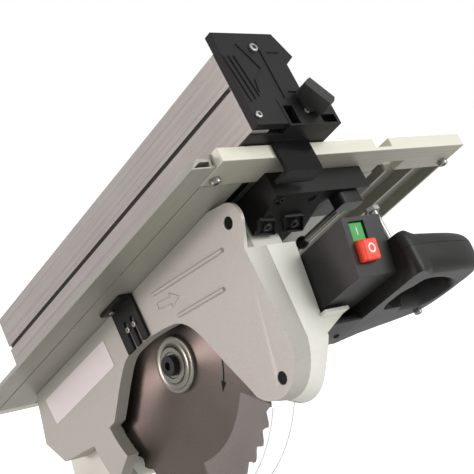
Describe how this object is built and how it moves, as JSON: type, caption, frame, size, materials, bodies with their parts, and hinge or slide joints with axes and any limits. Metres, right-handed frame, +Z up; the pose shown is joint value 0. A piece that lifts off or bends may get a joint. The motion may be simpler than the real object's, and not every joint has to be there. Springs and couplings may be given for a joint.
{
  "type": "combination mitre saw",
  "caption": "Bench mitre saw with a raised belt-driven head, rip-fenced saw table above it, D-handle, retracting lower guard, bevel bracket and turntable base.",
  "frame": {"origin": "middle of the footprint's bounding box, on the floor under the feet", "axes": "+X to the operator's right, +Y away from the operator, +Z up"},
  "size_m": [0.496, 0.5682, 0.6466],
  "materials": {
    "grey_paint": "satin silver-grey paint",
    "cast_aluminium": "matt die-cast",
    "extruded_aluminium": "drawn, fine lengthwise lines",
    "anodised_fence": "satin anodised",
    "black_plastic": "fine-grained moulding",
    "black_steel": "black oxide",
    "bright_steel": "zinc plated or ground",
    "blade_steel": "ground disc",
    "rubber": "matt",
    "clear_plastic": "clear polycarbonate",
    "green_plastic": "semi-gloss",
    "red_plastic": "semi-gloss",
    "copper": "wound copper and steel",
    "red_insert": "matt",
    "scale_metal": "anodised strip"
  },
  "bodies": {
    "base": {"base_casting": "cast_aluminium", "foot_front_left": "rubber", "foot_front_right": "rubber", "foot_rear_left": "rubber", "foot_rear_right": "rubber", "turntable_centre_pin": "bright_steel", "mitre_scale": "scale_metal", "rear_fence": "cast_aluminium"},
    "turntable": {"turntable": "cast_aluminium", "kerf_insert": "red_insert", "bevel_bolt": "bright_steel"},
    "mitre_lock": {"mitre_lock_knob": "black_plastic"},
    "bevel_arm": {"bevel_bracket": "grey_paint", "head_hinge_pin": "bright_steel"},
    "bevel_lock": {"bevel_lock_lever": "black_plastic"},
    "head": {"left_blade_cover": "grey_paint", "head_casting": "cast_aluminium", "arbor_bearing_left": "bright_steel", "arbor_bearing_right": "bright_steel", "drive_belt": "rubber", "belt_cover": "cast_aluminium", "motor_casing": "black_plastic", "motor_bearing_front": "bright_steel", "motor_stator": "black_steel", "motor_end_cap": "black_plastic", "switch_box": "black_plastic", "power_switch": "black_plastic", "handle_lower_shell": "black_plastic", "handle_upper_shell": "black_plastic", "height_stop_bolt": "bright_steel", "table_carrier": "black_plastic", "riving_knife": "bright_steel", "head_return_spring": "bright_steel"},
    "head_pin": {"head_lock_pin": "black_steel"},
    "spindle": {"blade": "blade_steel", "inner_flange": "bright_steel", "outer_flange": "bright_steel", "arbor_bolt": "black_steel", "arbor_shaft": "bright_steel", "arbor_pulley": "cast_aluminium"},
    "rotor": {"motor_rotor": "copper", "cooling_fan": "black_plastic", "motor_pulley": "cast_aluminium"},
    "guard": {"lower_guard": "clear_plastic"},
    "saw_table": {"table_front_rail": "extruded_aluminium", "table_rear_rail": "extruded_aluminium", "table_left_deck": "extruded_aluminium", "table_right_deck": "extruded_aluminium", "table_insert": "black_plastic", "rear_table_guide": "black_plastic", "table_post_left": "bright_steel", "table_post_right": "bright_steel"},
    "table_lock": {"table_clamp_lever": "black_steel"},
    "fence": {"rip_fence": "anodised_fence", "fence_clamp_body": "black_plastic"},
    "fence_lock": {"fence_clamp_knob": "black_plastic"},
    "start": {"start_button": "green_plastic"},
    "stop": {"stop_button": "red_plastic"},
    "guard_release": {"guard_release_trigger": "black_plastic"},
    "spindle_lock": {"spindle_lock_button": "black_steel"}
  },
  "joints": [
    {"name": "mitre_turn", "type": "hinge", "parent": "base", "child": "turntable", "pos_m": [-0.013, -0.03111, 0.066], "axis": [0, 0, 1], "range_deg": [-45, 45]},
    {"name": "mitre_lock_turn", "type": "hinge", "parent": "turntable", "child": "mitre_lock", "pos_m": [-0.013, -0.23611, 0.044], "axis": [0, 1, 0], "range_deg": [-180, 0]},
    {"name": "bevel_tilt", "type": "hinge", "parent": "turntable", "child": "bevel_arm", "pos_m": [-0.013, 0.13089, 0.08], "axis": [0, -1, 0], "range_deg": [0, 45]},
    {"name": "bevel_lock_swing", "type": "hinge", "parent": "bevel_arm", "child": "bevel_lock", "pos_m": [-0.013, 0.15289, 0.08], "axis": [0, 1, 0], "range_deg": [0, 60]},
    {"name": "head_swing", "type": "hinge", "parent": "bevel_arm", "child": "head", "pos_m": [-0.013, 0.16389, 0.1595], "axis": [1, 0, 0], "range_deg": [0, 38.4], "stiffness_Nm_per_rad": 20, "springref_deg": -103.13},
    {"name": "head_lock_slide", "type": "slide", "parent": "bevel_arm", "child": "head_pin", "axis": [1, 0, 0], "range_m": [0, 0.012]},
    {"name": "blade_spin", "type": "hinge", "parent": "head", "child": "spindle", "pos_m": [-0.013, 0.00457, 0.33682], "axis": [1, 0, 0], "continuous": true},
    {"name": "motor_spin", "type": "hinge", "parent": "head", "child": "rotor", "pos_m": [-0.013, -0.01082, 0.38985], "axis": [1, 0, 0], "continuous": true},
    {"name": "lower_guard_swing", "type": "hinge", "parent": "head", "child": "guard", "pos_m": [-0.013, 0.00457, 0.33682], "axis": [1, 0, 0], "range_deg": [0, 101.1]},
    {"name": "table_height", "type": "slide", "parent": "head", "child": "saw_table", "axis": [0, 0.6211, 0.7837], "range_m": [0, 0.018]},
    {"name": "table_lock_swing", "type": "hinge", "parent": "head", "child": "table_lock", "pos_m": [0.079, -0.11798, 0.49775], "axis": [0, 0.6211, 0.7837], "range_deg": [-40, 20]},
    {"name": "fence_slide", "type": "slide", "parent": "saw_table", "child": "fence", "axis": [1, 0, 0], "range_m": [-0.05, 0.008]},
    {"name": "fence_lock_turn", "type": "hinge", "parent": "fence", "child": "fence_lock", "pos_m": [0.026, -0.13152, 0.59014], "axis": [0, 0.7837, -0.6211], "range_deg": [-180, 0]},
    {"name": "start_press", "type": "slide", "parent": "head", "child": "start", "axis": [0, 0.9109, -0.4125], "range_m": [0, 0.0035], "stiffness_N_per_m": 800, "springref_m": -0.002},
    {"name": "stop_press", "type": "slide", "parent": "head", "child": "stop", "axis": [0, 0.9109, -0.4125], "range_m": [0, 0.0035], "stiffness_N_per_m": 800, "springref_m": -0.002},
    {"name": "guard_release_press", "type": "slide", "parent": "head", "child": "guard_release", "axis": [0, -0.7837, 0.6211], "range_m": [0, 0.005], "stiffness_N_per_m": 800, "springref_m": -0.002},
    {"name": "spindle_lock_press", "type": "slide", "parent": "head", "child": "spindle_lock", "axis": [-1, 0, 0], "range_m": [0, 0.004], "stiffness_N_per_m": 800, "springref_m": -0.002}
  ],
  "couplings": [
    {"joint": "lower_guard_swing", "follows": "head_swing", "ratio": 2.6302},
    {"joint": "motor_spin", "follows": "blade_spin", "ratio": 1.8571}
  ]
}
